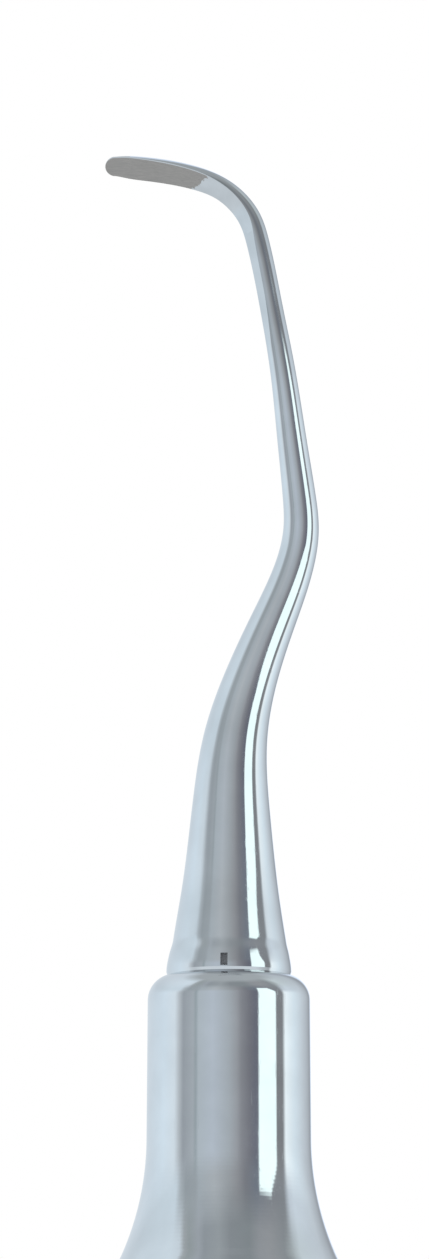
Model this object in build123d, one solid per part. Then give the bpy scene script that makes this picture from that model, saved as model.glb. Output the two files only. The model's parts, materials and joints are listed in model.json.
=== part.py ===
from build123d import *
import math
import os

# Double-ended dental hand scaler with screw-in tips, in millimetres.
# The frame's origin is the centre of the handle.  +Z runs along the handle to the front tip,
# whose toe points to -X and whose ground face looks to -Y.
# The rear tip's blade is the front one seen through the origin, so the pair is left and right handed.

# Handle: a drawn tube with a turned nose pressed into each end
HANDLE_LENGTH = 105.0        # between the two seats that the tips screw down on
BARREL_R = 5.5
TUBE_BORE_R = 4.7
TUBE_LENGTH = 70.8
GRIP_FROM = 11.4             # each grip zone, measured along Z from the middle of the handle
GRIP_TO = 31.4
GRIP_R = 5.4                 # mean radius of the knurl, whose crests reach BARREL_R
GROOVE_WIDTH = 0.9           # relief groove at both ends of a grip zone
GROOVE_DEPTH = 0.35
EDGE_CHAMFER = 0.15

# Nose, with heights counted from its seat
NOSE_R = 3.52                # under the shoulder
NECK_R = 3.57                # where the flare starts, so the nose swells very slightly
SEAT_R = 2.74
SHOULDER_SLOPE = 72.5        # degrees that the shoulder leans up where it leaves the seat
NOSE_LENGTH = 7.03           # seat to the start of the flare
FLARE_R = 12.6               # hollow arc of the flare
FLARE_SLOPE = 25.0           # steepest slope of the flare, in degrees
SPIGOT_LENGTH = 8.0
SPIGOT_GAP = 0.01
SPIGOT_CHAMFER = 0.4
SPIGOT_BORE_R = 3.0
SPIGOT_BORE_DEPTH = 12.5

# Screw thread with 60 degree flanks, and its socket
PITCH = 0.6
STUD_R = 1.75
ROOT_R = 1.40
SOCKET_R = 1.50              # crest of the inside thread
THREAD_GAP = 0.06
RIB_BITE = 0.04              # how far a thread's rib is sunk into its core
CREST_HALF = 0.05            # half the flat on the stud's thread crest
FLANK = 30.0
SOCKET_RELIEF = 1.0
SOCKET_DEPTH = 6.4
STUD_LENGTH = 5.5
STUD_TURNS = 7
RUN_IN_TURNS = 1.5           # extra turns of groove in the socket, one below the stud's rib

# Seal ring on the stud's neck, in the counterbore under the foot
RING_R = 1.71
RING_SECTION_R = 0.29
COUNTERBORE_R = 2.05
COUNTERBORE_DEPTH = 0.64

# Working end: the foot's outline as (radius, height over the seat), with a fine bevel at its edge
FOOT = [(2.665, 0.0), (2.715, 0.17), (2.70, 0.40), (2.60, 0.95), (2.455, 1.53)]
NOTCH_WIDTH = 0.31           # spanner notches, front and back of the foot
NOTCH_FROM = 0.22            # height over the seat of their lower end, just above the bevel
NOTCH_HEIGHT = 0.54
NOTCH_FLOOR_R = 2.25
NOTCH_TURN = -4.7            # degrees that the notches are turned off the Y axis

# Stations up the shank and along the blade: (X, Y, height over the seat, radius, flat, turn).
# The flat is how far the face is from the centre line, and less than 0 where it is past it.
# Where the flat is more than the radius, the shank is round.  The turn is how many degrees the
# face is turned to the front from the inside of the bend.
STATIONS = [
    (0.03, 0.00, 1.53, 2.455, 2.80, 45),
    (0.055, 0.00, 4.13, 2.05, 2.40, 45),
    (0.085, 0.00, 7.23, 1.70, 2.00, 45),
    (0.285, 0.00, 10.33, 1.395, 1.70, 45),
    (0.94, 0.00, 12.93, 1.155, 1.40, 45),
    (1.94, 0.00, 15.53, 0.97, 1.20, 45),
    (2.825, 0.00, 17.83, 0.84, 1.00, 45),
    (3.145, 0.00, 19.53, 0.775, 0.90, 45),
    (3.06, 0.01, 21.03, 0.72, 0.81, 45),
    (2.755, 0.03, 23.43, 0.64, 0.69, 45),
    (2.345, 0.14, 26.58, 0.55, 0.565, 45),
    (1.85, 0.45, 29.41, 0.50, 0.47, 45),
    (1.26, 0.83, 32.33, 0.50, 0.435, 45),
    (0.93, 0.96, 33.33, 0.50, 0.36, 45),
    (0.32, 1.04, 34.18, 0.495, 0.29, 45),
    (-0.40, 1.08, 34.74, 0.495, 0.23, 45),
    (-1.60, 1.10, 35.19, 0.535, 0.12, 45),
    (-3.20, 1.10, 35.485, 0.56, 0.03, 48),
    (-4.30, 1.10, 35.615, 0.53, -0.01, 54),
    (-4.95, 1.10, 35.67, 0.45, -0.035, 59),
]
BLANK_END = (-7.00, 1.10, 35.67, 0.45, -0.035, 59)      # the blank runs on to here
TOE_R = 0.455                # ball that rounds the toe, about the last station
SECTIONS = 48                # evenly spaced sections of the loft
FACE_START = 9               # station that the face's cutter starts from
FACE_SECTIONS = 32
CUTTER_WIDTH = 1.3
CUTTER_DEPTH = 0.7

HALF_HANDLE = HANDLE_LENGTH / 2
TO_SEAT = Pos(0, 0, HALF_HANDLE)
END_FOR_END = Rot(X=180)


def polar(centre, radius, degrees):
    """Point on a circle, with the angle counted from +X."""
    angle = math.radians(degrees)
    return (centre[0] + radius * math.cos(angle), centre[1] + radius * math.sin(angle))


def arc(centre, radius, start, end):
    """Arc about a centre from one angle to another, in degrees."""
    middle = polar(centre, radius, (start + end) / 2)
    return ThreePointArc(polar(centre, radius, start), middle, polar(centre, radius, end))


def lines(*points):
    """Edges that join the points in order."""
    return Polyline(*points).edges()


def revolved(*edges):
    """Solid of revolution about Z, from a closed outline of (radius, height) edges."""
    return revolve(Plane.XZ * make_face(Wire(edges)), Axis.Z)


def turned(*points):
    """Solid of revolution about Z, from the corners of its (radius, height) outline."""
    return revolved(*lines(*points, points[0]))


def grooved_end(outward):
    """Half of the tube's outline, from its middle to the end on one side."""
    groove_centres = (GRIP_FROM, GRIP_TO)
    half_groove = GROOVE_WIDTH / 2
    root = BARREL_R - GROOVE_DEPTH
    inner, outer = groove_centres
    steps = [
        (BARREL_R, inner - half_groove),
        (root, inner - half_groove + EDGE_CHAMFER),
        (root, inner + half_groove - EDGE_CHAMFER),
        (GRIP_R, inner + half_groove),
        (GRIP_R, outer - half_groove),
        (root, outer - half_groove + EDGE_CHAMFER),
        (root, outer + half_groove - EDGE_CHAMFER),
        (BARREL_R, outer + half_groove),
        (BARREL_R, TUBE_LENGTH / 2),
    ]
    return [(radius, outward * height) for radius, height in steps]


def handle_tube():
    """Barrel with a recessed band for each knurled grip and relief grooves beside it."""
    half = TUBE_LENGTH / 2
    outline = grooved_end(-1)[::-1] + grooved_end(1)
    return turned(*outline, (TUBE_BORE_R, half), (TUBE_BORE_R, -half))


def thread_rib(root_r, crest_r, gap, bottom, turns):
    """Right-hand rib of the thread, grown by a gap, wound up from a height at +X."""
    flank_tangent = math.tan(math.radians(FLANK))
    crest_half = CREST_HALF + gap
    root_half = CREST_HALF + gap + (STUD_R - root_r) * flank_tangent
    corners = [
        (root_r, 0, bottom - root_half),
        (crest_r, 0, bottom - crest_half),
        (crest_r, 0, bottom + crest_half),
        (root_r, 0, bottom + root_half),
    ]
    section = make_face(Wire(lines(*corners, corners[0])))
    path = Pos(0, 0, bottom) * Helix(PITCH, PITCH * turns, root_r)
    return sweep(section, path, is_frenet=True)


def threaded_socket():
    """Space taken out of the nose for the stud and the seal ring."""
    relief_r = STUD_R + 2 * THREAD_GAP
    drill_tip = SOCKET_R * 0.6
    space = turned(
        (0, 1),
        (COUNTERBORE_R, 1),
        (COUNTERBORE_R, -COUNTERBORE_DEPTH),
        (relief_r, -COUNTERBORE_DEPTH),
        (relief_r, -SOCKET_RELIEF),
        (SOCKET_R, -SOCKET_RELIEF),
        (SOCKET_R, -SOCKET_DEPTH),
        (0, -SOCKET_DEPTH - drill_tip),
    )
    groove_r = STUD_R + THREAD_GAP
    turns = STUD_TURNS + RUN_IN_TURNS
    return space + thread_rib(SOCKET_R - RIB_BITE, groove_r, THREAD_GAP, PITCH - SOCKET_DEPTH, turns)


def nose():
    """Turned nose with its seat at height 0: shoulder, flare, spigot and threaded socket."""
    slope = math.radians(SHOULDER_SLOPE)
    shoulder_r = (NOSE_R - SEAT_R) / (1 - math.cos(slope))
    shoulder = (NOSE_R - shoulder_r, -shoulder_r * math.sin(slope))
    flare = (NECK_R + FLARE_R, -NOSE_LENGTH)
    flare_r, flare_z = polar(flare, FLARE_R, 180 + FLARE_SLOPE)
    slope = math.radians(FLARE_SLOPE)
    rim_r = (BARREL_R - flare_r) / (1 - math.cos(slope))
    rim = (BARREL_R - rim_r, flare_z - rim_r * math.sin(slope))
    tube_end = TUBE_LENGTH / 2 - HALF_HANDLE
    spigot_end = tube_end - SPIGOT_LENGTH
    spigot_r = TUBE_BORE_R - SPIGOT_GAP
    body = revolved(
        *lines((0, spigot_end), (0, 0), (SEAT_R, 0)),
        arc(shoulder, shoulder_r, SHOULDER_SLOPE, 0),
        *lines((NOSE_R, shoulder[1]), (NECK_R, -NOSE_LENGTH)),
        arc(flare, FLARE_R, 180, 180 + FLARE_SLOPE),
        arc(rim, rim_r, FLARE_SLOPE, 0),
        *lines((BARREL_R, rim[1]), (BARREL_R, tube_end), (spigot_r, tube_end)),
        *lines((spigot_r, tube_end), (spigot_r, spigot_end + SPIGOT_CHAMFER)),
        *lines((spigot_r, spigot_end + SPIGOT_CHAMFER), (spigot_r - SPIGOT_CHAMFER, spigot_end)),
        *lines((spigot_r - SPIGOT_CHAMFER, spigot_end), (0, spigot_end)),
    )
    bore = turned(
        (0, spigot_end),
        (SPIGOT_BORE_R, spigot_end),
        (SPIGOT_BORE_R, spigot_end + SPIGOT_BORE_DEPTH),
        (0, spigot_end + SPIGOT_BORE_DEPTH),
    )
    return body - bore - threaded_socket()


def stud():
    """Threaded stud under the foot, in mesh with the socket."""
    tip_r = ROOT_R - 0.3
    core = turned(
        (0, 0.5),
        (ROOT_R, 0.5),
        (ROOT_R, -STUD_LENGTH + 0.3),
        (tip_r, -STUD_LENGTH),
        (0, -STUD_LENGTH),
    )
    socket_start = PITCH - SOCKET_DEPTH
    rib = thread_rib(ROOT_R - RIB_BITE, STUD_R, 0, socket_start + PITCH, STUD_TURNS)
    return core + rib


def seal_ring():
    section = Plane.XZ * Pos(RING_R, -COUNTERBORE_DEPTH / 2) * Circle(RING_SECTION_R)
    return revolve(section, Axis.Z)


def foot():
    """Seat of the working end, with a spanner notch at its front and its back."""
    height = FOOT[-1][1]
    body = turned((0, 0), *FOOT, (0, height))
    reach = FOOT[0][0] - NOTCH_FLOOR_R + 1
    for side in (-1, 1):
        centre_y = side * (NOTCH_FLOOR_R + reach / 2)
        notch = Box(NOTCH_WIDTH, reach, NOTCH_HEIGHT)
        body -= Rot(Z=NOTCH_TURN) * Pos(0, centre_y, NOTCH_FROM + NOTCH_HEIGHT / 2) * notch
    return body


def smooth_value(places, values, place):
    """Value at a place along the centre line: a cubic between stations, with averaged slopes."""
    pairs = zip(places, places[1:], values, values[1:])
    slopes = [(v2 - v1) / (p2 - p1) for p1, p2, v1, v2 in pairs]
    at_station = [slopes[0]] + [(a + b) / 2 for a, b in zip(slopes, slopes[1:])] + [slopes[-1]]
    i = sum(place > station for station in places[1:-1])
    gap = places[i + 1] - places[i]
    t = (place - places[i]) / gap
    return (
        values[i] * (1 + 2 * t) * (1 - t) ** 2
        + values[i + 1] * (3 - 2 * t) * t**2
        + gap * at_station[i] * t * (1 - t) ** 2
        - gap * at_station[i + 1] * t**2 * (1 - t)
    )


class CentreLine:
    """Curved centre line of the shank and blade, with the size of its section at each place."""

    def __init__(self):
        stations = [*STATIONS, BLANK_END]
        points = [Vector(*station[:3]) for station in stations]
        self.line = Spline(*points, tangents=[(0, 0, 1), (-1, 0, 0)])
        self.places = [self.line.param_at_point(point) for point in points]
        self.radii = [station[3] for station in stations]
        self.flats = [station[4] for station in stations]
        self.turns = [station[5] for station in stations]

    def level(self, place):
        """Plane square to the line, with its x axis away from the inside of the bend."""
        along = self.line % place
        across = Vector(0, 1, 0).cross(along)
        return Plane(origin=self.line @ place, x_dir=across, z_dir=along)

    def round_section(self, place):
        return self.level(place) * Circle(smooth_value(self.places, self.radii, place))

    def cutter_section(self, place):
        """Rectangle that stands on the face at a place, outside it."""
        flat = smooth_value(self.places, self.flats, place)
        turn = smooth_value(self.places, self.turns, place)
        centre = Pos(-flat - CUTTER_DEPTH / 2, 0)
        return self.level(place) * Rot(Z=turn) * centre * Rectangle(CUTTER_DEPTH, CUTTER_WIDTH)


def shank_and_blade():
    """Round tapered shank and blade, with the face cut along its inside, and with a round toe."""
    centre_line = CentreLine()
    blank = loft([centre_line.round_section(step / SECTIONS) for step in range(SECTIONS + 1)])
    start = centre_line.places[FACE_START]
    steps = [start + (1 - start) * step / FACE_SECTIONS for step in range(FACE_SECTIONS + 1)]
    cutter = loft([centre_line.cutter_section(step) for step in steps])
    reach = 2 * max(station[2] for station in STATIONS)
    behind_toe = Box(reach, reach, reach, align=(Align.MIN, Align.CENTER, Align.CENTER))
    return (blank - cutter) & Pos(*STATIONS[-1][:3]) * (behind_toe + Sphere(TOE_R))


def blade_side():
    return foot() + shank_and_blade()


def main():
    os.makedirs("parts", exist_ok=True)
    front_blade = TO_SEAT * blade_side()
    rear_blade = Rot(Z=180) * mirror(front_blade, about=Plane.XY)
    front_stud = TO_SEAT * stud()
    front_nose = TO_SEAT * nose()
    front_ring = TO_SEAT * seal_ring()
    parts = {
        "handle_tube": handle_tube(),
        "front_nose": front_nose,
        "rear_nose": END_FOR_END * front_nose,
        "front_seal_ring": front_ring,
        "rear_seal_ring": END_FOR_END * front_ring,
        "front_working_end": front_blade + front_stud,
        "rear_working_end": rear_blade + END_FOR_END * front_stud,
    }
    for name, part in parts.items():
        export_step(part, f"parts/{name}.step")


main()
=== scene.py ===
import json
import math

import bmesh
import bpy
import numpy as np
from mathutils import Matrix, Vector


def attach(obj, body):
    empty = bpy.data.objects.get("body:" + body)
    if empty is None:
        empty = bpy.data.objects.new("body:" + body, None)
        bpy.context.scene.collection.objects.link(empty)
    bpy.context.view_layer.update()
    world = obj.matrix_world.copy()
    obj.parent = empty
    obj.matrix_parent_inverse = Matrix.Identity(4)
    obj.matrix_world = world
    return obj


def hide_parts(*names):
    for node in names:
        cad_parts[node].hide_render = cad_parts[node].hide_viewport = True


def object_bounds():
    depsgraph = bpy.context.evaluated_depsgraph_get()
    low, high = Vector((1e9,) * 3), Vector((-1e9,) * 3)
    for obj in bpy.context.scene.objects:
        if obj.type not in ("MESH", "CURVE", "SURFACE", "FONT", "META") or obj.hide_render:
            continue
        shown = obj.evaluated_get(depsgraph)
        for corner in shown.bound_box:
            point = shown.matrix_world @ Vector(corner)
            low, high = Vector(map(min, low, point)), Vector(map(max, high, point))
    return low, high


# Double-ended dental hand scaler: fine meshes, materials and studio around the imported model.
# Meshes are worked out in millimetres and scaled to metres once, in mesh_object().  A nose, a seal
# ring and a working end are made with height 0 at their seat, and then moved out to it.

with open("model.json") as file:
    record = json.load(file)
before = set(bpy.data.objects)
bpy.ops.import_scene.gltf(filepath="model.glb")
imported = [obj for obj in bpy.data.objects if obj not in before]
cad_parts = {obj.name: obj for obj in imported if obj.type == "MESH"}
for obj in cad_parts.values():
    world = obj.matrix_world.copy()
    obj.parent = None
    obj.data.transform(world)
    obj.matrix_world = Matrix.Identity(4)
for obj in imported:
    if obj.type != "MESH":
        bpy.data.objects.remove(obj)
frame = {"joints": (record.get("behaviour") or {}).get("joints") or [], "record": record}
CAD_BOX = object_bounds()
JOINTS = {joint["name"]: joint for joint in frame["joints"]}
BARREL = next(m for m in frame["record"]["mounts"] if m["name"] == "handle_barrel")

MM = 0.001
FULL_TURN = 2 * math.pi

# Handle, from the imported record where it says
SEAT_Z = JOINTS["front_tip_turn"]["pos_m"][2] / MM
BARREL_R = BARREL["dims"]["r_mm"]
TUBE_BORE_R = 4.7
TUBE_HALF = 35.4
GRIP_FROM = 11.4
GRIP_TO = 31.4
GROOVE_HALF = 0.45
GROOVE_R = 5.15
GROOVE_FLANK = 0.15
SEAM_CHAMFER = 0.07              # broken edge on both sides of the tube's joint with a nose

# Diamond knurl: two families of rounded V grooves, whose lines run along the mesh's diagonals
KNURL_STARTS = 36
KNURL_STEPS = 6                  # mesh steps from one groove to the next
KNURL_CREST_R = 5.49
KNURL_DEPTH = 0.21
KNURL_ANGLE = math.radians(30)   # of the grooves to the handle's axis
KNURL_END_R = 5.195              # to which both ends of the band are chamfered
KNURL_PROFILE = (0.0, 0.60, 0.94, 1.0, 0.94, 0.60)     # share of the depth at each step

# Nose, with heights counted from its seat
NOSE_R = 3.52
NECK_R = 3.57
SEAT_R = 2.74
SHOULDER_SLOPE = 72.5
NOSE_LENGTH = 7.03
FLARE_R = 12.6
FLARE_SLOPE = 25
SPIGOT_LENGTH = 8.0
SPIGOT_R = 4.69
SPIGOT_CHAMFER = 0.4
SPIGOT_BORE_R = 3.0
SPIGOT_BORE_DEPTH = 12.5
SEAT_BREAK = 0.03                # broken edge of the counterbore at the seat
POLE_R = 0.05                    # small ring round the pole in a bore's floor

# Screw thread and the counterbore for the seal ring
PITCH = 0.6
STUD_R = 1.75
ROOT_R = 1.40
SOCKET_R = 1.50
THREAD_GAP = 0.06
CREST_HALF = 0.05
FLANK = math.radians(30)
SOCKET_DEPTH = 6.4
SOCKET_RELIEF = 1.0
DRILL_TIP = 0.6 * SOCKET_R       # depth of the drilled cone at the socket's floor
STUD_LENGTH = 5.5
STUD_CHAMFER = 0.3
STUD_FILLET = 0.02               # where it meets the foot
STUD_LEAD = 0.05                 # plain length over the chamfer, before the rows of the thread
STUD_TURNS = 7
SOCKET_TURNS = 8.5
THREAD_END = 0.02                # turns that a thread runs on past each end of its count
THREAD_ROWS = 14                 # mesh rows to a pitch
COUNTERBORE_R = 2.05
COUNTERBORE_DEPTH = 0.64
RING_R = 1.71
RING_SECTION_R = 0.29
RING_SEGMENTS = 96
RING_SECTION_SEGMENTS = 28

# Working end: the foot's outline as (radius, height over the seat), with a fine bevel at its edge
FOOT = [(2.665, 0.0), (2.715, 0.17), (2.70, 0.40), (2.60, 0.95), (2.455, 1.53)]
NOTCH_WIDTH = 0.31
NOTCH_FROM = 0.22
NOTCH_HEIGHT = 0.54
NOTCH_FLOOR_R = 2.25
NOTCH_TURN = math.radians(-4.7)  # of both notches about the handle's axis

# Stations up the shank and along the blade: (X, Y, height over the seat, radius, flat, turn).
# The flat is how far the face is from the centre line, and less than 0 where it is past it.
# Where the flat is more than the radius, the section is round.  The turn is how many degrees the
# face is turned to the front from the inside of the bend.
STATIONS = [
    (0.03, 0.00, 1.53, 2.455, 2.80, 45),
    (0.055, 0.00, 4.13, 2.05, 2.40, 45),
    (0.085, 0.00, 7.23, 1.70, 2.00, 45),
    (0.285, 0.00, 10.33, 1.395, 1.70, 45),
    (0.94, 0.00, 12.93, 1.155, 1.40, 45),
    (1.94, 0.00, 15.53, 0.97, 1.20, 45),
    (2.825, 0.00, 17.83, 0.84, 1.00, 45),
    (3.145, 0.00, 19.53, 0.775, 0.90, 45),
    (3.06, 0.01, 21.03, 0.72, 0.81, 45),
    (2.755, 0.03, 23.43, 0.64, 0.69, 45),
    (2.345, 0.14, 26.58, 0.55, 0.565, 45),
    (1.85, 0.45, 29.41, 0.50, 0.47, 45),
    (1.26, 0.83, 32.33, 0.50, 0.435, 45),
    (0.93, 0.96, 33.33, 0.50, 0.36, 45),
    (0.32, 1.04, 34.18, 0.495, 0.29, 45),
    (-0.40, 1.08, 34.74, 0.495, 0.23, 45),
    (-1.60, 1.10, 35.19, 0.535, 0.12, 45),
    (-3.20, 1.10, 35.485, 0.56, 0.03, 48),
    (-4.30, 1.10, 35.615, 0.53, -0.01, 54),
    (-4.95, 1.10, 35.67, 0.45, -0.035, 59),
]
TOE_R = 0.455                    # ball that rounds the toe, about the last station
TOE_RINGS = 24
TIP_SEGMENTS = 96
FACE_SEGMENTS = 24               # of those, the ones across the face
EDGE_SEGMENTS = 1                # and of those, the one at its upper edge that stays polished
TIP_ROW = 0.11                   # spacing of the rings along the centre line
FOOT_ROWS = 18
LEAST_FACE = math.radians(15)    # half angle under which a face is too narrow for all its segments
FACE_FROM = 32.7                 # height over the seat from which the face has its own material
DARKENING_FROM = 25                 # height over the seat from which the steel darkens
DARKENING_FADE = 5                  # and how far on it is at its darkest

# Ragged edge of the part of the face that is ground: a point on it, and its normal towards
# the shank
GROUND_EDGE = Vector((-1.30, 0, 34.92))
GROUND_NORMAL = Vector((0.55, 0, -0.84))
GROUND_WANDER = 0.10             # how far the edge wanders to either side
GROUND_BLUR = 0.012              # half the width over which it changes

LATHE_SEGMENTS = 144
LATHE_ROW = 0.35                 # longest row of a turned piece
EDGE_ROW = 0.03                  # row beside a corner, so that smooth shading stays at the corner
SHARP_ANGLE = math.radians(32)
FACET_ANGLE = math.radians(14)   # the same on a working end, whose face has low edges


# ---------------------------------------------------------------- mesh helpers

def turn_angles(count):
    return np.arange(count) * (FULL_TURN / count)


def level_ring(radii, height, angles):
    """Ring of points about Z, with one radius or a radius for each angle."""
    heights = np.full(len(angles), float(height))
    return np.column_stack([radii * np.cos(angles), radii * np.sin(angles), heights])


def arc_points(centre, radius, start, end, count):
    """Points on an arc from one angle to another, in degrees counted from +X."""
    angles = np.radians(np.linspace(start, end, count))
    return [(centre[0] + radius * math.cos(a), centre[1] + radius * math.sin(a)) for a in angles]


def with_rows(outline):
    """The outline with rows of at most LATHE_ROW, and a short row beside each corner."""
    dense = [outline[0]]
    for (r1, z1), (r2, z2) in zip(outline, outline[1:]):
        length = math.hypot(r2 - r1, z2 - z1)
        if length < 1e-6:
            continue
        if length > 4 * EDGE_ROW:
            inner = np.linspace(EDGE_ROW, length - EDGE_ROW, max(2, math.ceil(length / LATHE_ROW)))
            for place in inner:
                dense.append((r1 + (r2 - r1) * place / length, z1 + (z2 - z1) * place / length))
        dense.append((r2, z2))
    return dense


def skin_faces(rows, around, loop):
    """Quads of a stack of rings, as index tuples."""
    faces = []
    last = rows if loop else rows - 1
    for row in range(last):
        low, high = row * around, (row + 1) % rows * around
        for k in range(around):
            n = (k + 1) % around
            faces.append((low + k, low + n, high + n, high + k))
    return faces


def skin(name, rings, loop=False):
    """Object with a closed skin over the rings: joined end to end, or closed by a pole at each end."""
    rings = np.array(rings)
    rows, around = rings.shape[:2]
    points = rings.reshape(-1, 3)
    faces = skin_faces(rows, around, loop)
    if not loop:
        first_pole, last_pole = len(points), len(points) + 1
        points = np.vstack([points, rings[0].mean(0), rings[-1].mean(0)])
        top = (rows - 1) * around
        faces += [((k + 1) % around, k, first_pole) for k in range(around)]
        faces += [(top + k, top + (k + 1) % around, last_pole) for k in range(around)]
    return mesh_object(name, points, faces)


def mesh_object(name, points, faces):
    mesh = bpy.data.meshes.new(name)
    mesh.from_pydata((np.asarray(points) * MM).tolist(), [], faces)
    mesh.update()
    piece = bpy.data.objects.new(name, mesh)
    bpy.context.scene.collection.objects.link(piece)
    return piece


def smooth(piece, sharp_angle=SHARP_ANGLE):
    """Smooth shading that breaks at real edges."""
    piece.data.shade_smooth()
    piece.data.set_sharp_from_angle(angle=sharp_angle)


def cut_away(piece, cutter):
    """Takes the cutter's volume from the piece. Faces that the cut makes have the cutter's material."""
    modifier = piece.modifiers.new("cut", "BOOLEAN")
    modifier.object = cutter
    modifier.operation = "DIFFERENCE"
    modifier.solver = "EXACT"
    modifier.material_mode = "TRANSFER"
    depsgraph = bpy.context.evaluated_depsgraph_get()
    cut = bpy.data.meshes.new_from_object(piece.evaluated_get(depsgraph))
    piece.modifiers.clear()
    piece.data = cut
    bpy.data.objects.remove(cutter)


# ---------------------------------------------------------------- screw thread

def thread_drop(angles, height, bottom, turns, crest_half):
    """How far the thread is below its crest at each angle of a level, and where it runs."""
    lead = (height - bottom) / PITCH - angles / FULL_TURN
    turn = np.round(lead)
    off_crest = np.abs(lead - turn) * PITCH
    along = turn + angles / FULL_TURN
    runs = (along > -THREAD_END) & (along < turns + THREAD_END)
    return np.maximum(0, off_crest - crest_half) / math.tan(FLANK), runs


def stud_radii(angles, height):
    """Radii of the stud's thread and core at a level."""
    drop, runs = thread_drop(angles, height, 2 * PITCH - SOCKET_DEPTH, STUD_TURNS, CREST_HALF)
    return np.where(runs, np.maximum(ROOT_R, STUD_R - drop), ROOT_R)


def socket_radii(angles, height):
    """Radii of the socket, whose groove clears the stud's thread by THREAD_GAP."""
    crest_half = CREST_HALF + THREAD_GAP
    drop, runs = thread_drop(angles, height, PITCH - SOCKET_DEPTH, SOCKET_TURNS, crest_half)
    groove_r = STUD_R + THREAD_GAP
    return np.where(runs, np.maximum(SOCKET_R, groove_r - drop), SOCKET_R)


def thread_levels(bottom, top):
    return np.linspace(bottom, top, math.ceil((top - bottom) / PITCH * THREAD_ROWS))


# ---------------------------------------------------------------- working ends

def spline_through(points, start_slope, end_slope):
    """Function of the length along the chords that gives a smooth line's point and direction."""
    points = np.array(points, float)
    gaps = np.linalg.norm(np.diff(points, axis=0), axis=1)
    places = np.concatenate([[0], np.cumsum(gaps)])
    count = len(points)
    system, wanted = np.eye(count), np.zeros((count, 3))
    wanted[0], wanted[-1] = start_slope, end_slope
    for i in range(1, count - 1):
        before, after = 1 / gaps[i - 1], 1 / gaps[i]
        system[i, i - 1 : i + 2] = before, 2 * (before + after), after
        steps = (points[i] - points[i - 1]) * before**2 + (points[i + 1] - points[i]) * after**2
        wanted[i] = 3 * steps
    slopes = np.linalg.solve(system, wanted)
    return places, lambda place: hermite(places, points, slopes, place)


def hermite(places, values, slopes, place):
    """Value and slope at a place of the cubic curve through values with the given slopes."""
    i = int(np.clip(np.searchsorted(places, place, side="right") - 1, 0, len(places) - 2))
    gap = places[i + 1] - places[i]
    t = (place - places[i]) / gap
    v0, v1, s0, s1 = values[i], values[i + 1], slopes[i] * gap, slopes[i + 1] * gap
    value = v0 * (1 + 2 * t) * (1 - t) ** 2 + v1 * (3 - 2 * t) * t**2
    value = value + s0 * t * (1 - t) ** 2 - s1 * t**2 * (1 - t)
    slope = (v1 - v0) * 6 * t * (1 - t) + s0 * (1 - t) * (1 - 3 * t) + s1 * t * (3 * t - 2)
    return value, slope / gap


def average_slopes(places, values):
    """Slopes at the values for hermite(): the mean of the steps on both sides."""
    steps = np.diff(values, axis=0) / np.diff(places)[:, None]
    return np.concatenate([steps[:1], (steps[:-1] + steps[1:]) / 2, steps[-1:]])


def section_angles(half_face):
    """Angles round a section from the middle of its face, whose segments come first."""
    face = np.linspace(-half_face, half_face, FACE_SEGMENTS + 1)
    rest = np.linspace(half_face, FULL_TURN - half_face, TIP_SEGMENTS - FACE_SEGMENTS + 1)
    return np.concatenate([face, rest[1:-1]])


EVEN_HALF_FACE = math.pi * FACE_SEGMENTS / TIP_SEGMENTS
EVEN_ANGLES = section_angles(EVEN_HALF_FACE) + math.radians(180 + STATIONS[0][5])


def flattened_ring(centre, direction, radius, flat, turn):
    """Ring square to a direction: a circle with its face cut off at a distance from the centre."""
    half_face = math.acos(max(-1, min(1, flat / radius)))
    if half_face < LEAST_FACE:
        widened = EVEN_HALF_FACE + (LEAST_FACE - EVEN_HALF_FACE) * half_face / LEAST_FACE
        angles = section_angles(widened)
        out, side = np.minimum(radius * np.cos(angles), flat), radius * np.sin(angles)
    else:
        angles = section_angles(half_face)
        out, side = radius * np.cos(angles), radius * np.sin(angles)
        out[: FACE_SEGMENTS + 1] = flat
        side[: FACE_SEGMENTS + 1] = np.linspace(side[0], side[FACE_SEGMENTS], FACE_SEGMENTS + 1)
    along = direction / np.linalg.norm(direction)
    across = np.cross((0, 1, 0), along)
    across /= np.linalg.norm(across)
    other = np.cross(along, across)
    face_angle = math.radians(180 + turn)
    to_face = across * math.cos(face_angle) + other * math.sin(face_angle)
    return centre + np.outer(out, to_face) + np.outer(side, np.cross(along, to_face))


def shank_rings():
    """Rings up the shank and along the blade, and over the ball that rounds the toe."""
    points = [station[:3] for station in STATIONS]
    sizes = np.array([station[3:] for station in STATIONS])
    places, line = spline_through(points, (0, 0, 1), (-1, 0, 0))
    size_slopes = average_slopes(places, sizes)
    rings = []
    for place in np.linspace(0, places[-1], round(places[-1] / TIP_ROW))[1:]:
        centre, direction = line(place)
        size = hermite(places, sizes, size_slopes, place)[0]
        rings.append(flattened_ring(centre, direction, *size))
    # The ball's last ring is just wide enough for the face to cut it
    toe, (toe_r, flat, turn) = np.array(points[-1]), sizes[-1]
    start, end = math.acos(toe_r / TOE_R), math.acos(1.05 * abs(flat) / TOE_R)
    outward = np.array((-1.0, 0, 0))
    for latitude in np.linspace(start, end, TOE_RINGS)[1:]:
        centre = toe + TOE_R * math.sin(latitude) * outward
        radius = TOE_R * math.cos(latitude)
        rings.append(flattened_ring(centre, outward, radius, flat, turn))
    return rings


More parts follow.
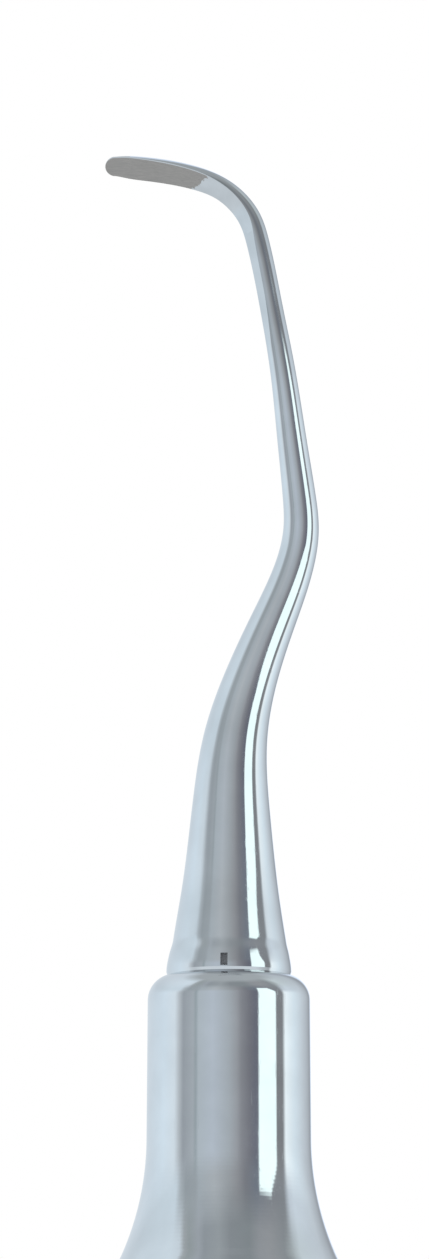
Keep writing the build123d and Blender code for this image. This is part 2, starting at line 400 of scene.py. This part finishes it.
def foot_rings(angles):
    """Rings up the foot: its bevel, and one smooth curve from there to the shank."""
    bevel, curve = FOOT[:2], np.array(FOOT[1:])
    heights, radii = curve[:, 1], curve[:, :1]
    shank_slope = (STATIONS[1][3] - STATIONS[0][3]) / (STATIONS[1][2] - STATIONS[0][2])
    slopes = average_slopes(heights, radii)
    slopes[-1] = shank_slope
    rings = [level_ring(radius, height, angles) for radius, height in with_rows(bevel)]
    for height in np.linspace(heights[0], heights[-1], FOOT_ROWS)[1:]:
        centre_x = STATIONS[0][0] * (height / heights[-1]) ** 2
        radius = hermite(heights, radii, slopes, height)[0][0]
        rings.append(level_ring(radius, height, angles) + (centre_x, 0, 0))
    return rings


def stud_rings(angles):
    """Rings from the stud's tip up to the foot, with the thread wound round the core."""
    tip = [(ROOT_R - STUD_CHAMFER, -STUD_LENGTH), (ROOT_R, -STUD_LENGTH + STUD_CHAMFER)]
    rings = [level_ring(radius, height, angles) for radius, height in tip]
    thread_angles = np.mod(angles, FULL_TURN)
    for height in thread_levels(STUD_LEAD - STUD_LENGTH + STUD_CHAMFER, -COUNTERBORE_DEPTH):
        rings.append(level_ring(stud_radii(thread_angles, height), height, angles))
    rings.append(level_ring(ROOT_R, -STUD_FILLET, angles))
    rings.append(level_ring(ROOT_R + STUD_FILLET, 0, angles))
    return rings


def mirrored_stud_rings(angles):
    """The same right-hand stud for the rear end, which is mirrored through the origin afterwards."""
    rings = stud_rings(np.mod(-angles - math.pi, FULL_TURN))
    flipped = []
    for points in rings:
        radii = np.hypot(points[:, 0], points[:, 1])
        flipped.append(level_ring(radii, points[0, 2], angles))
    return flipped


def notch_cutter(side):
    """Box for a spanner notch at the front (side -1) or the back (side 1) of the foot."""
    half = NOTCH_WIDTH / 2
    reach = FOOT[1][0] + 1
    low, high = sorted((side * NOTCH_FLOOR_R, side * reach))
    levels = NOTCH_FROM, NOTCH_FROM + NOTCH_HEIGHT
    corners = [(x, y, z) for x in (-half, half) for y in (low, high) for z in levels]
    faces = [(0, 1, 3, 2), (4, 6, 7, 5), (0, 4, 5, 1), (2, 3, 7, 6), (0, 2, 6, 4), (1, 5, 7, 3)]
    cutter = mesh_object("notch_cutter", corners, faces)
    cutter.data.transform(Matrix.Rotation(NOTCH_TURN, 4, "Z"))
    # The cutter's material, the painted shade of the slot, goes onto the walls that the cut makes
    cutter.data.materials.append(NOTCH_SHADE)
    return cutter


def working_end(name, rear):
    """Stud, foot, shank and blade in one skin, with the spanner notches cut into the foot."""
    rings = mirrored_stud_rings(EVEN_ANGLES) if rear else stud_rings(EVEN_ANGLES)
    rings += foot_rings(EVEN_ANGLES) + shank_rings()
    piece = skin(name, rings)
    side = -1 if rear else 1
    face_steel = blade_face_steel(f"{name}_face", SLOT_COLOURS["tip_steel"], side)
    for material in (TIP_STEEL, face_steel, NOTCH_SHADE):
        piece.data.materials.append(material)
    for face in piece.data.polygons:
        on_face = face.index % TIP_SEGMENTS < FACE_SEGMENTS - EDGE_SEGMENTS
        if on_face and face.center.z > FACE_FROM * MM:
            face.material_index = 1
    for front_or_back in (-1, 1):
        cut_away(piece, notch_cutter(front_or_back))
    piece.data.transform(Matrix.Translation((0, 0, SEAT_Z * MM)))
    if rear:
        piece.data.transform(Matrix.Scale(-1, 4))
        piece.data.flip_normals()
    smooth(piece, FACET_ANGLE)
    return piece


# ---------------------------------------------------------------- handle

def nose_outline():
    """(radius, height) rows of the nose, from the spigot's bore, up the outside, to the thread."""
    slope = math.radians(SHOULDER_SLOPE)
    shoulder_r = (NOSE_R - SEAT_R) / (1 - math.cos(slope))
    shoulder = (NOSE_R - shoulder_r, -shoulder_r * math.sin(slope))
    flare = (NECK_R + FLARE_R, -NOSE_LENGTH)
    slope = math.radians(FLARE_SLOPE)
    flare_end = (flare[0] - FLARE_R * math.cos(slope), flare[1] - FLARE_R * math.sin(slope))
    rim_r = (BARREL_R - flare_end[0]) / (1 - math.cos(slope))
    rim = (BARREL_R - rim_r, flare_end[1] - rim_r * math.sin(slope))
    tube_end = TUBE_HALF - SEAT_Z
    spigot_end = tube_end - SPIGOT_LENGTH
    bore_end = spigot_end + SPIGOT_BORE_DEPTH
    relief_r = STUD_R + 2 * THREAD_GAP
    inside = [(POLE_R, bore_end), (SPIGOT_BORE_R, bore_end), (SPIGOT_BORE_R, spigot_end)]
    spigot = [
        (SPIGOT_R - SPIGOT_CHAMFER, spigot_end),
        (SPIGOT_R, spigot_end + SPIGOT_CHAMFER),
        (SPIGOT_R, tube_end),
    ]
    seam = [(BARREL_R - SEAM_CHAMFER, tube_end), (BARREL_R, tube_end + SEAM_CHAMFER)]
    outside = [
        *arc_points(rim, rim_r, 0, FLARE_SLOPE, 24),
        *arc_points(flare, FLARE_R, 180 + FLARE_SLOPE, 180, 30),
        (NOSE_R, shoulder[1]),
        *arc_points(shoulder, shoulder_r, 0, SHOULDER_SLOPE, 24),
        (SEAT_R - 0.02, 0),
    ]
    socket = [
        (COUNTERBORE_R + SEAT_BREAK, 0),
        (COUNTERBORE_R, -SEAT_BREAK),
        (COUNTERBORE_R, -COUNTERBORE_DEPTH),
        (relief_r, -COUNTERBORE_DEPTH),
        (relief_r, -SOCKET_RELIEF),
    ]
    return with_rows([*inside, *spigot, *seam, *outside, *socket])


def nose(name, rear):
    angles = turn_angles(LATHE_SEGMENTS)
    rings = [level_ring(radius, height, angles) for radius, height in nose_outline()]
    for height in thread_levels(-SOCKET_DEPTH, -SOCKET_RELIEF)[::-1]:
        rings.append(level_ring(socket_radii(angles, height), height, angles))
    rings.append(level_ring(POLE_R, -SOCKET_DEPTH - DRILL_TIP, angles))
    piece = skin(name, rings)
    piece.data.materials.append(NOSE_STEEL)
    place_end(piece, rear)
    smooth(piece)
    return piece


def place_end(piece, rear):
    """Moves a piece from its seat's own frame to the front seat, or end for end to the rear one."""
    piece.data.transform(Matrix.Translation((0, 0, SEAT_Z * MM)))
    if rear:
        piece.data.transform(Matrix.Rotation(math.pi, 4, "X"))


def knurl_height(step):
    """Share of the knurl's depth at a whole number of mesh steps from a groove's line."""
    return KNURL_PROFILE[step % KNURL_STEPS]


def knurl_rings(angles, bottom, top):
    """Rings of a knurled band, whose ends are chamfered."""
    axial_step = FULL_TURN * BARREL_R / KNURL_STARTS / math.tan(KNURL_ANGLE) / KNURL_STEPS
    rows = round((top - bottom) / axial_step)
    rings = []
    for j in range(rows + 1):
        heights = [min(knurl_height(i + j), knurl_height(i - j)) for i in range(len(angles))]
        radii = KNURL_CREST_R - KNURL_DEPTH * (1 - np.array(heights))
        if j in (0, rows):
            radii = np.full(len(angles), KNURL_END_R)
        rings.append(level_ring(radii, bottom + (top - bottom) * j / rows, angles))
    return rings


def split_along_grooves(piece):
    """Splits the knurl's bent quads along the diagonal that is more level, or else the lower one."""
    mesh = bmesh.new()
    mesh.from_mesh(piece.data)
    for face in list(mesh.faces):
        radii = [vert.co.xy.length for vert in face.verts]
        first, second = radii[0] + radii[2], radii[1] + radii[3]
        if abs(first - second) > 1e-7:
            first_order = round(abs(radii[0] - radii[2]), 7), first
            second_order = round(abs(radii[1] - radii[3]), 7), second
            low = 0 if first_order < second_order else 1
            bmesh.utils.face_split(face, face.verts[low], face.verts[low + 2])
    mesh.to_mesh(piece.data)
    mesh.free()


def land_rings(outline, angles):
    """Rings of a plain turned stretch."""
    return [level_ring(radius, height, angles) for radius, height in with_rows(outline)]


def handle_tube(name):
    """Barrel between the noses, with a knurled band and two relief grooves in each half."""
    angles = turn_angles(KNURL_STARTS * KNURL_STEPS)
    root, flank = GROOVE_R, GROOVE_FLANK
    inner_low, inner_high = GRIP_FROM - GROOVE_HALF, GRIP_FROM + GROOVE_HALF
    outer_low, outer_high = GRIP_TO - GROOVE_HALF, GRIP_TO + GROOVE_HALF
    seam_r = BARREL_R - SEAM_CHAMFER
    rim = [(BARREL_R, TUBE_HALF - SEAM_CHAMFER), (seam_r, TUBE_HALF), (TUBE_BORE_R, TUBE_HALF)]
    inner_groove = [(BARREL_R, inner_low), (root, inner_low + flank), (root, inner_high)]
    outer_groove = [(root, outer_low), (root, outer_high - flank), (BARREL_R, outer_high)]

    def below(outline):
        return [(radius, -height) for radius, height in outline[::-1]]

    rings = land_rings(below([*outer_groove, *rim]), angles)
    rings += knurl_rings(angles, -outer_low, -inner_high)
    rings += land_rings([*below(inner_groove), *inner_groove], angles)
    rings += knurl_rings(angles, inner_high, outer_low)
    rings += land_rings([*outer_groove, *rim], angles)
    piece = skin(name, rings, loop=True)
    split_along_grooves(piece)
    piece.data.materials.append(TUBE_STEEL)
    smooth(piece)
    return piece


def seal_ring(name, rear):
    angles = turn_angles(RING_SEGMENTS)
    rings = []
    for section in turn_angles(RING_SECTION_SEGMENTS):
        radius = RING_R + RING_SECTION_R * math.cos(section)
        height = RING_SECTION_R * math.sin(section) - COUNTERBORE_DEPTH / 2
        rings.append(level_ring(radius, height, angles))
    piece = skin(name, rings, loop=True)
    piece.data.materials.append(SILICONE)
    place_end(piece, rear)
    smooth(piece)
    return piece


# ---------------------------------------------------------------- node helpers

def add(tree, kind, links=None, **settings):
    """Node with its settings made, and its inputs linked to sockets or set to values."""
    node = tree.nodes.new(kind)
    for key, value in settings.items():
        setattr(node, key, value)
    for key, value in (links or {}).items():
        if isinstance(value, bpy.types.NodeSocket):
            tree.links.new(value, node.inputs[key])
        else:
            node.inputs[key].default_value = value
    return node


def maths(tree, operation, first, second=0.0):
    """Output of a math node on two sockets or values."""
    return add(tree, "ShaderNodeMath", {0: first, 1: second}, operation=operation).outputs[0]


def ramp(tree, factor, stops):
    """Colour ramp with (position, colour) stops."""
    node = add(tree, "ShaderNodeValToRGB", {"Fac": factor})
    elements = node.color_ramp.elements
    while len(elements) < len(stops):
        elements.new(0.5)
    for element, (position, colour) in zip(elements, stops):
        element.position = position
        element.color = (*colour, 1)
    return node.outputs["Color"]


def blended(tree, factor, first, second):
    """Colour mix of two sockets or values."""
    node = add(tree, "ShaderNodeMix", data_type="RGBA")
    for index, value in ((0, factor), (6, first), (7, second)):
        if isinstance(value, bpy.types.NodeSocket):
            tree.links.new(value, node.inputs[index])
        else:
            node.inputs[index].default_value = value if index == 0 else (*value, 1)
    return node.outputs[2]


def between(tree, value, low, high, soft):
    """1 between two limits, 0 outside them, with a soft edge."""
    rise = add(tree, "ShaderNodeMapRange", {0: value, 1: low - soft, 2: low + soft, 3: 0.0, 4: 1.0})
    fall = add(tree, "ShaderNodeMapRange", {0: value, 1: high - soft, 2: high + soft, 3: 1.0, 4: 0.0})
    return maths(tree, "MULTIPLY", rise.outputs[0], fall.outputs[0])


def scaled(colour, factor):
    return tuple(min(1, c * factor) for c in colour)


def new_material(name, **inputs):
    """Material with a Principled shader and its constant inputs."""
    material = bpy.data.materials.new(name)
    material.use_nodes = True
    shader = material.node_tree.nodes["Principled BSDF"]
    for key, value in inputs.items():
        shader.inputs[key.replace("_", " ")].default_value = value
    return material, material.node_tree, shader


def object_space(tree, scale=(1, 1, 1), rotation=(0, 0, 0)):
    """Coordinates in metres. A small scale draws a pattern out in that direction."""
    place = add(tree, "ShaderNodeTexCoord").outputs["Object"]
    node = add(tree, "ShaderNodeMapping", {"Vector": place, "Scale": scale, "Rotation": rotation})
    return node.outputs[0]


def noise(tree, vector, per_mm, detail=3.0, roughness=0.5):
    """Noise with about that many features to a millimetre."""
    links = {"Vector": vector, "Scale": per_mm / MM, "Detail": detail, "Roughness": roughness}
    return add(tree, "ShaderNodeTexNoise", links).outputs["Fac"]


def remap(tree, value, low, high, to_low, to_high):
    links = {0: value, 1: low, 2: high, 3: to_low, 4: to_high}
    return add(tree, "ShaderNodeMapRange", links).outputs[0]


def spread(tree, noise_value, low=0.0, high=1.0):
    """The range that noise is mostly in, spread from low to high."""
    return remap(tree, noise_value, 0.3, 0.7, low, high)


def bump(tree, height, depth_mm, under=None):
    """Bump whose height runs over the given depth."""
    links = {"Height": height, "Distance": depth_mm * MM, "Strength": 1.0}
    if under is not None:
        links["Normal"] = under
    return add(tree, "ShaderNodeBump", links).outputs[0]


# ---------------------------------------------------------------- materials

def polished_steel(name, colour, wave=0.004, darker_from=None):
    """Hand-polished stainless steel: faint waves, hair-fine wipe marks, a trace of haze.
    It may be darker past a distance from the handle's middle."""
    material, tree, shader = new_material(name, Metallic=1.0)
    body = object_space(tree)
    drawn_out = object_space(tree, scale=(1, 1, 0.3))
    wiped = object_space(tree, scale=(1, 1, 0.06), rotation=(0.12, -0.08, 0))
    waves = noise(tree, drawn_out, 0.32, detail=1.5)
    haze = noise(tree, body, 0.55, detail=4)
    marks = noise(tree, wiped, 16, detail=2)
    hairs = remap(tree, marks, 0.62, 0.72, 0.0, 1.0)
    tint = spread(tree, haze)
    tinted = blended(tree, tint, scaled(colour, 0.95), scaled(colour, 1.04))
    if darker_from is not None:
        height = add(tree, "ShaderNodeSeparateXYZ", {0: body}).outputs[2]
        reach = maths(tree, "ABSOLUTE", height)
        darkening = remap(tree, reach, darker_from * MM, (darker_from + DARKENING_FADE) * MM, 0.0, 1.0)
        darker_colour = blended(tree, tint, scaled(colour, 0.80), scaled(colour, 0.90))
        tinted = blended(tree, darkening, tinted, darker_colour)
    tree.links.new(tinted, shader.inputs["Base Color"])
    hazy = remap(tree, haze, 0.3, 0.75, 0.035, 0.085)
    scratched = maths(tree, "MULTIPLY_ADD", hairs, 0.10)
    tree.links.new(hazy, scratched.node.inputs[2])
    tree.links.new(scratched, shader.inputs["Roughness"])
    waved = bump(tree, waves, wave)
    tree.links.new(bump(tree, hairs, 0.00025, waved), shader.inputs["Normal"])
    return material


def blade_face_steel(name, colour, side):
    """Blade's face: polished round the bend, and ground from a ragged edge to the toe.
    The side is 1 on the front tip, and -1 on the rear one, which is mirrored through the origin."""
    material, tree, shader = new_material(name, Metallic=1.0)
    place = add(tree, "ShaderNodeTexCoord").outputs["Object"]
    offset = (GROUND_EDGE + Vector((0, 0, SEAT_Z))).dot(GROUND_NORMAL) * MM
    normal = tuple(side * GROUND_NORMAL)
    dot = add(tree, "ShaderNodeVectorMath", {0: place, 1: normal}, operation="DOT_PRODUCT")
    past = dot.outputs["Value"]
    fine = noise(tree, object_space(tree), 7, detail=4, roughness=0.65)
    wandering = spread(tree, fine, -GROUND_WANDER * MM, GROUND_WANDER * MM)
    ragged = maths(tree, "ADD", maths(tree, "SUBTRACT", past, offset), wandering)
    ground = remap(tree, ragged, -GROUND_BLUR * MM, GROUND_BLUR * MM, 1.0, 0.0)
    along_blade = object_space(tree, (0.07, 1, 1), (0, side * 0.12, 0))
    lines = noise(tree, along_blade, 20, detail=3, roughness=0.7)
    patches = noise(tree, object_space(tree), 0.9, detail=3)
    shade = spread(tree, lines)
    brushed = blended(tree, shade, (0.285, 0.268, 0.255), (0.355, 0.330, 0.310))
    cloudy = spread(tree, patches)
    polished = blended(tree, cloudy, scaled(colour, 0.80), scaled(colour, 0.92))
    tree.links.new(blended(tree, ground, polished, brushed), shader.inputs["Base Color"])
    rough = spread(tree, patches, 0.26, 0.36)
    tree.links.new(remap(tree, ground, 0.0, 1.0, 0.07, rough), shader.inputs["Roughness"])
    scored = maths(tree, "MULTIPLY", lines, ground)
    tree.links.new(bump(tree, scored, 0.0025), shader.inputs["Normal"])
    return material


def painted_notch_shade(name):
    """Walls of a spanner notch: milled and never polished, in a dark non-metal grey that paints the
    shade inside the slot.
    """
    material, tree, shader = new_material(name, Metallic=0.0)
    grain = noise(tree, object_space(tree), 12, detail=3)
    shade = spread(tree, grain)
    # Painted shade: a dark grey that stands in for the shade inside the slot
    notch_shade_grey = blended(tree, shade, (0.30, 0.32, 0.34), (0.42, 0.44, 0.47))
    tree.links.new(notch_shade_grey, shader.inputs["Base Color"])
    tree.links.new(spread(tree, grain, 0.45, 0.6), shader.inputs["Roughness"])
    return material


def satin_steel(name, colour):
    """Drawn and brushed steel of the barrel: fine lines round it, and painted shade darkening the
    grooves.
    """
    material, tree, shader = new_material(name, Metallic=1.0)
    round_barrel = object_space(tree, (0.08, 0.08, 1))
    lines = noise(tree, round_barrel, 14, detail=3, roughness=0.65)
    patches = noise(tree, object_space(tree), 0.25, detail=3)
    shade = spread(tree, lines)
    brushed = blended(tree, shade, scaled(colour, 0.90), colour)
    place = add(tree, "ShaderNodeSeparateXYZ", {0: add(tree, "ShaderNodeTexCoord").outputs["Object"]})
    x_squared = maths(tree, "MULTIPLY", place.outputs[0], place.outputs[0])
    y_squared = maths(tree, "MULTIPLY", place.outputs[1], place.outputs[1])
    radius = maths(tree, "SQRT", maths(tree, "ADD", x_squared, y_squared))
    # Painted shade: the colour darkens towards the bottom of the knurl's grooves
    bottom, shoulder = KNURL_CREST_R - KNURL_DEPTH, KNURL_CREST_R - 0.05
    groove = remap(tree, radius, bottom * MM, shoulder * MM, 1.0, 0.0)
    tree.links.new(blended(tree, groove, brushed, scaled(colour, 0.55)), shader.inputs["Base Color"])
    worn = spread(tree, patches, 0.13, 0.21)
    rough = maths(tree, "ADD", worn, maths(tree, "MULTIPLY", groove, 0.16))
    tree.links.new(rough, shader.inputs["Roughness"])
    tree.links.new(bump(tree, lines, 0.0015), shader.inputs["Normal"])
    return material


def silicone(name, colour):
    """Moulded silicone: matte, with a faint grain and a paler bloom."""
    material, tree, shader = new_material(name, Subsurface_Weight=0.08, Specular_IOR_Level=0.35)
    shader.inputs["Subsurface Radius"].default_value = (0.0006, 0.0002, 0.0001)
    grain = noise(tree, object_space(tree), 9, detail=4)
    bloom = noise(tree, object_space(tree), 0.8, detail=3)
    paler = tuple(min(1, c * 1.25 + 0.02) for c in colour)
    faded = blended(tree, remap(tree, bloom, 0.4, 0.7, 0, 1), colour, paler)
    tree.links.new(faded, shader.inputs["Base Color"])
    tree.links.new(spread(tree, grain, 0.48, 0.62), shader.inputs["Roughness"])
    tree.links.new(bump(tree, grain, 0.006), shader.inputs["Normal"])
    return material


# ---------------------------------------------------------------- studio

# Walls that the steel mirrors, as stops of (degrees round, colour) from the back, past the left,
# the front (0) and the right (90), to the back again.  The first two end in the same stops.
BACK_WALLS = [
    (130, (0.76, 0.83, 0.89)),
    (146, (0.58, 0.63, 0.68)),
    (158, (0.40, 0.43, 0.47)),
    (164, (0.46, 0.50, 0.56)),
    (169, (0.90, 1.02, 1.20)),
    (177, (0.90, 1.02, 1.20)),
]
LEVEL_WALLS = [
    (-180, (0.74, 0.80, 0.86)),
    (-140, (0.86, 0.96, 1.04)),
    (-105, (0.96, 1.10, 1.20)),
    (-83, (0.96, 1.06, 1.13)),
    (-75, (0.68, 0.73, 0.77)),
    (-68, (0.46, 0.50, 0.54)),
    (-52, (0.55, 0.60, 0.64)),
    (-48, (0.45, 0.52, 0.55)),
    (-44, (0.63, 0.70, 0.75)),
    (-23, (0.68, 0.75, 0.83)),
    (0, (0.56, 0.61, 0.65)),
    (11, (0.47, 0.49, 0.52)),
    (17, (0.36, 0.37, 0.40)),
    (29, (0.26, 0.265, 0.30)),
    (38, (0.21, 0.22, 0.27)),
    (72, (0.31, 0.32, 0.335)),
    (82, (0.32, 0.33, 0.345)),
    (87, (1.28, 1.39, 1.42)),
    (106, (1.02, 1.16, 1.24)),
    *BACK_WALLS,
]
UPPER_WALLS = [
    (-180, (0.74, 0.80, 0.86)),
    (-97, (0.86, 0.98, 1.06)),
    (-77, (0.86, 0.98, 1.06)),
    (-70, (0.60, 0.66, 0.70)),
    (-62, (0.46, 0.51, 0.54)),
    (-47, (0.49, 0.54, 0.57)),
    (-42, (0.56, 0.62, 0.66)),
    (-20, (0.62, 0.66, 0.69)),
    (0, (0.48, 0.51, 0.53)),
    (11, (0.41, 0.42, 0.44)),
    (23, (0.29, 0.30, 0.33)),
    (38, (0.25, 0.28, 0.33)),
    (62, (0.33, 0.345, 0.37)),
    (80, (0.33, 0.35, 0.37)),
    (88, (0.80, 0.88, 0.95)),
    (97, (0.88, 0.98, 1.06)),
    *BACK_WALLS,
]
HIGH_WALLS = [
    (-180, (0.76, 0.82, 0.88)),
    (-80, (0.95, 1.07, 1.15)),
    (-68, (0.90, 1.00, 1.07)),
    (-62, (0.54, 0.58, 0.60)),
    (-55, (0.45, 0.50, 0.51)),
    (-42, (0.50, 0.54, 0.58)),
    (-34, (0.42, 0.46, 0.49)),
    (-14, (0.46, 0.50, 0.52)),
    (2, (0.36, 0.39, 0.41)),
    (28, (0.34, 0.375, 0.39)),
    (42, (0.42, 0.44, 0.46)),
    (56, (0.43, 0.445, 0.46)),
    (76, (0.37, 0.40, 0.415)),
    (85, (0.52, 0.57, 0.58)),
    (97, (0.80, 0.89, 0.91)),
    (146, (0.66, 0.72, 0.77)),
    (160, (0.46, 0.50, 0.55)),
    (168, (0.90, 1.02, 1.20)),
    (177, (0.90, 1.02, 1.20)),
]
ZENITH = (0.54, 0.58, 0.60)
GROUND = (0.90, 0.97, 1.02)

# Degrees up over which one gives way to the next
LEVEL_TO_UPPER = (13.0, 22.0)
UPPER_TO_HIGH = (26.0, 42.0)
HIGH_TO_ZENITH = (52.0, 66.0)
GROUND_TO_LEVEL = (-24.0, -17.0)

# Softbox, in the same degrees.  Going up, each side edge moves in from its first place to its
# second one over the stretch given below it.
BOX_COLOUR = (1.40, 1.62, 1.60)
BOX_BOTTOM = -14.0
BOX_TOP = 27.0
BOX_LEFT = (29.0, 42.5)
BOX_LEFT_STEP = (2.0, 4.3)
BOX_RIGHT = (70.5, 60.0)
BOX_RIGHT_LEAN = (14.0, 28.0)
BOX_LEVEL_BLUR = 1.5             # half the width over which its level edges fade
BOX_SIDE_BLUR = 1.0              # and its side edges


def wall(tree, turn, stops):
    """Colours of a wall that goes once round, where the turn runs from 0 to 1."""
    return ramp(tree, turn, [((degrees + 180) / 360, colour) for degrees, colour in stops])


def softbox_share(tree, around, up):
    """1 inside the softbox and 0 outside it, with soft edges."""
    left_edge = remap(tree, up, *BOX_LEFT_STEP, *BOX_LEFT)
    lean = remap(tree, up, *BOX_RIGHT_LEAN, *BOX_RIGHT)
    lean.node.interpolation_type = "SMOOTHSTEP"
    past_left = maths(tree, "SUBTRACT", around, left_edge)
    before_right = maths(tree, "SUBTRACT", lean, around)
    inside_left = remap(tree, past_left, -BOX_SIDE_BLUR, BOX_SIDE_BLUR, 0.0, 1.0)
    inside_right = remap(tree, before_right, -BOX_SIDE_BLUR, BOX_SIDE_BLUR, 0.0, 1.0)
    level = between(tree, up, BOX_BOTTOM, BOX_TOP, BOX_LEVEL_BLUR)
    return maths(tree, "MULTIPLY", maths(tree, "MULTIPLY", inside_left, inside_right), level)


def studio_world():
    """Plain white surroundings. What the polished steel mirrors is a light tent with an open front:
    a softbox at the right, a grey room in front, and pale panels at the sides and the back."""
    world = bpy.data.worlds.new("light_tent")
    bpy.context.scene.world = world
    world.use_nodes = True
    world.cycles.sampling_method = "NONE"
    tree = world.node_tree
    direction = add(tree, "ShaderNodeTexCoord").outputs["Generated"]
    xyz = add(tree, "ShaderNodeSeparateXYZ", {0: direction})
    x, y, z = xyz.outputs
    forward = maths(tree, "MULTIPLY", y, -1.0)
    around = maths(tree, "DEGREES", maths(tree, "ARCTAN2", x, forward))
    up = maths(tree, "DEGREES", maths(tree, "ARCSINE", z))
    turn = remap(tree, around, -180.0, 180.0, 0.0, 1.0)
    walls = wall(tree, turn, LEVEL_WALLS)
    for limits, next_walls in (
        (LEVEL_TO_UPPER, wall(tree, turn, UPPER_WALLS)),
        (UPPER_TO_HIGH, wall(tree, turn, HIGH_WALLS)),
        (HIGH_TO_ZENITH, ZENITH),
    ):
        walls = blended(tree, remap(tree, up, *limits, 0.0, 1.0), walls, next_walls)
    walls = blended(tree, remap(tree, up, *GROUND_TO_LEVEL, 1.0, 0.0), walls, GROUND)
    walls = blended(tree, softbox_share(tree, around, up), walls, BOX_COLOUR)
    mirrored = add(tree, "ShaderNodeLightPath").outputs["Is Glossy Ray"]
    shown = blended(tree, mirrored, (1.0, 1.0, 1.0), walls)
    tree.links.new(shown, tree.nodes["Background"].inputs["Color"])


def studio_floor():
    """Plain pale floor, just under the rear tip."""
    mesh = bpy.data.meshes.new("floor")
    reach, gap = 12.0, 0.0012
    height = CAD_BOX[0].z - gap
    corners = [(x * reach, y * reach, height) for x, y in ((-1, -1), (1, -1), (1, 1), (-1, 1))]
    mesh.from_pydata(corners, [], [(0, 1, 2, 3)])
    floor = bpy.data.objects.new("floor", mesh)
    bpy.context.scene.collection.objects.link(floor)
    material, tree, shader = new_material("pale_floor", Roughness=1.0, Specular_IOR_Level=0.0)
    shader.inputs["Base Color"].default_value = (0.9, 0.9, 0.9, 1)
    floor.data.materials.append(material)
    floor.visible_glossy = False


def studio_camera():
    """Long lens, looking slightly up at the front working end and its nose."""
    distance, tilt = 0.6, math.radians(-7)
    view_height = 0.05477
    target = Vector((-0.625, 0, SEAT_Z + 15.14)) * MM
    back = Vector((0, -math.cos(tilt), math.sin(tilt)))
    data = bpy.data.cameras.new("camera")
    data.sensor_width = 36
    data.lens = data.sensor_width * distance / view_height
    data.clip_start, data.clip_end = 0.01, 50
    camera = bpy.data.objects.new("camera", data)
    bpy.context.scene.collection.objects.link(camera)
    camera.location = target + distance * back
    camera.rotation_mode = "QUATERNION"
    camera.rotation_quaternion = (-back).to_track_quat("-Z", "Y")
    bpy.context.scene.camera = camera
    bpy.context.scene.view_settings.view_transform = "Standard"


# ---------------------------------------------------------------- assembly

SLOT_COLOURS = {m["slot"]: tuple(m["base_color"]) for m in frame["record"]["materials"]}
TIP_STEEL = polished_steel(
    "tip_polished_steel", SLOT_COLOURS["tip_steel"], wave=0.0065, darker_from=SEAT_Z + DARKENING_FROM
)
# Painted shade: the notch's walls are a dark grey that stands in for the shade inside it
NOTCH_SHADE = painted_notch_shade("notch_painted_shade")
NOSE_STEEL = polished_steel("nose_polished_steel", SLOT_COLOURS["nose_steel"])
TUBE_STEEL = satin_steel("tube_satin_steel", SLOT_COLOURS["tube_steel"])
SILICONE = silicone("seal_silicone", SLOT_COLOURS["seal_silicone"])


def fit(piece, body, node):
    """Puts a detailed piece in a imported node's place, on the same body."""
    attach(piece, body)
    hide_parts(node)


def assemble():
    fit(handle_tube("knurled_tube"), "handle", "handle_tube")
    for end, rear in (("front", False), ("rear", True)):
        fit(nose(f"{end}_turned_nose", rear), "handle", f"{end}_nose")
        fit(seal_ring(f"{end}_seal", rear), f"{end}_seal", f"{end}_seal_ring")
        fit(working_end(f"{end}_scaler_tip", rear), f"{end}_tip", f"{end}_working_end")


assemble()
studio_world()
studio_floor()
studio_camera()
